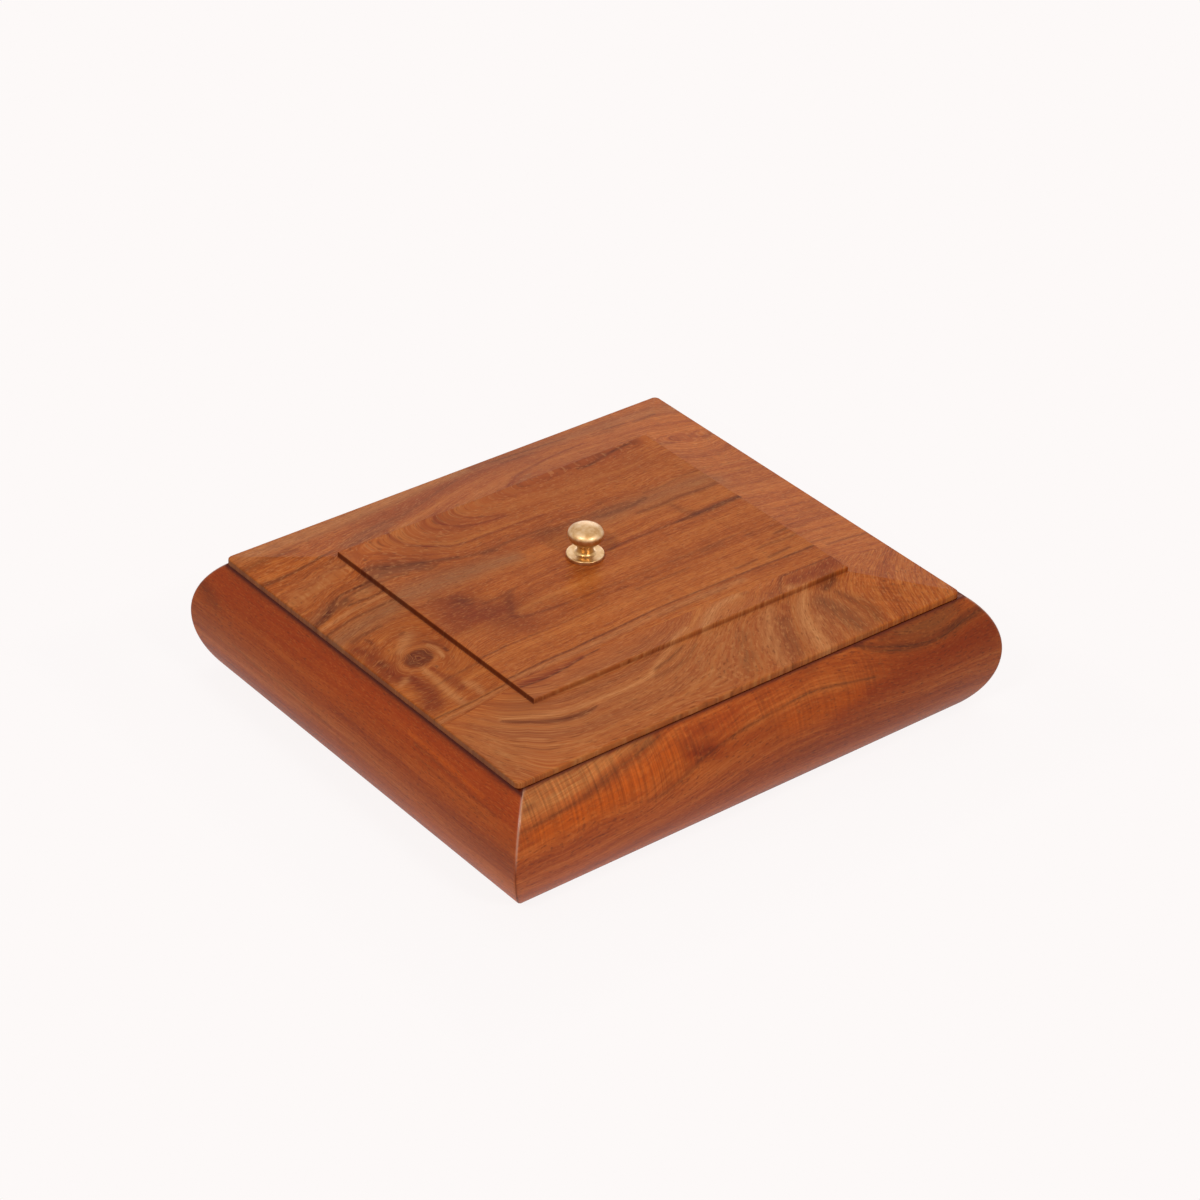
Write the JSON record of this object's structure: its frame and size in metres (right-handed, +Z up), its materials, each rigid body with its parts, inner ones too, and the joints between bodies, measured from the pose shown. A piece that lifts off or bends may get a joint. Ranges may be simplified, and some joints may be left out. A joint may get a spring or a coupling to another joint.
{
  "type": "wooden storage box",
  "caption": "Low wooden storage box with mitred bullnose sides, a grooved-in bottom and a lift-off raised panel lid with a round brass knob.",
  "frame": {"origin": "centre of the box's footprint, on the surface it stands on", "axes": "+Z up; +X along the box's length; the front, which the lid's narrow board is nearest, faces -Y"},
  "size_m": [0.2556, 0.2242, 0.0785],
  "materials": {
    "rail_wood": "glossy clear lacquer over red-brown acacia",
    "lid_wood": "satin lacquer over figured acacia",
    "panel_wood": "plywood, sealed",
    "tongue_wood": "bare birch plywood, hidden in the mitres",
    "knob_brass": "turned and satin polished",
    "screw_steel": "bright zinc plated"
  },
  "bodies": {
    "base": {"front_rail": "rail_wood", "right_rail": "rail_wood", "back_rail": "rail_wood", "left_rail": "rail_wood", "mitre_tongue_front_left": "tongue_wood", "mitre_tongue_front_right": "tongue_wood", "mitre_tongue_back_right": "tongue_wood", "mitre_tongue_back_left": "tongue_wood", "bottom_panel": "panel_wood"},
    "lid": {"lid_front_board": "lid_wood", "lid_back_board": "lid_wood", "brass_knob": "knob_brass", "knob_screw": "screw_steel", "screw_washer": "screw_steel"}
  },
  "joints": [
    {"name": "lid_lift", "type": "slide", "parent": "base", "child": "lid", "axis": [0, 0, 1], "range_m": [0, 0.09]}
  ]
}
